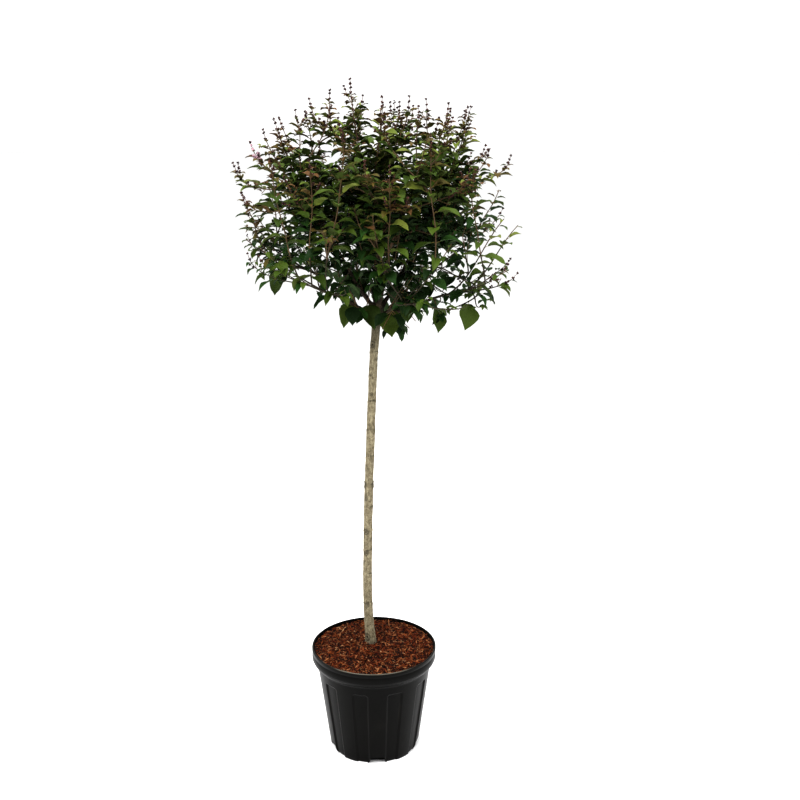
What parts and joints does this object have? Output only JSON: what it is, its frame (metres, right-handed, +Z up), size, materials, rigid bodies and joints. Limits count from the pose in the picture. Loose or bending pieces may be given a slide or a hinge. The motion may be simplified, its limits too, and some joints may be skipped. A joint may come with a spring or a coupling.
{
  "type": "potted standard lilac bush",
  "caption": "Lilac bush trained as a standard: round leafy head with flower buds, grafted on a clear stem, standing in a ribbed growing pot mulched with shredded bark.",
  "frame": {"origin": "middle of the pot's flat underside, where it stands on the ground", "axes": "+Z up along the stem, +X to the right and +Y away as seen from the front"},
  "size_m": [0.6592, 0.6172, 1.6351],
  "materials": {
    "pot_plastic": "black moulded growing-pot plastic, slightly satin",
    "soil": "damp dark potting compost",
    "mulch": "reddish-brown shredded bark",
    "trunk_bark": "grey-tan bark with fine lenticels",
    "bough_bark": "brown young bark",
    "foliage": "green lilac leaves on red-brown twigs, with purple flower buds"
  },
  "bodies": {
    "root": {"pot": "pot_plastic", "soil": "soil", "mulch": "mulch", "trunk": "trunk_bark", "bough_leader": "bough_bark", "bough_upper_1": "bough_bark", "bough_upper_2": "bough_bark", "bough_upper_3": "bough_bark", "bough_upper_4": "bough_bark", "bough_lower_1": "bough_bark", "bough_lower_2": "bough_bark", "bough_lower_3": "bough_bark", "bough_lower_4": "bough_bark", "bough_lower_5": "bough_bark", "bough_lower_6": "bough_bark", "mass_leader": "foliage", "mass_upper_1": "foliage", "mass_upper_2": "foliage", "mass_upper_3": "foliage", "mass_upper_4": "foliage", "mass_lower_1": "foliage", "mass_lower_2": "foliage", "mass_lower_3": "foliage", "mass_lower_4": "foliage", "mass_lower_5": "foliage", "mass_lower_6": "foliage"}
  },
  "joints": []
}
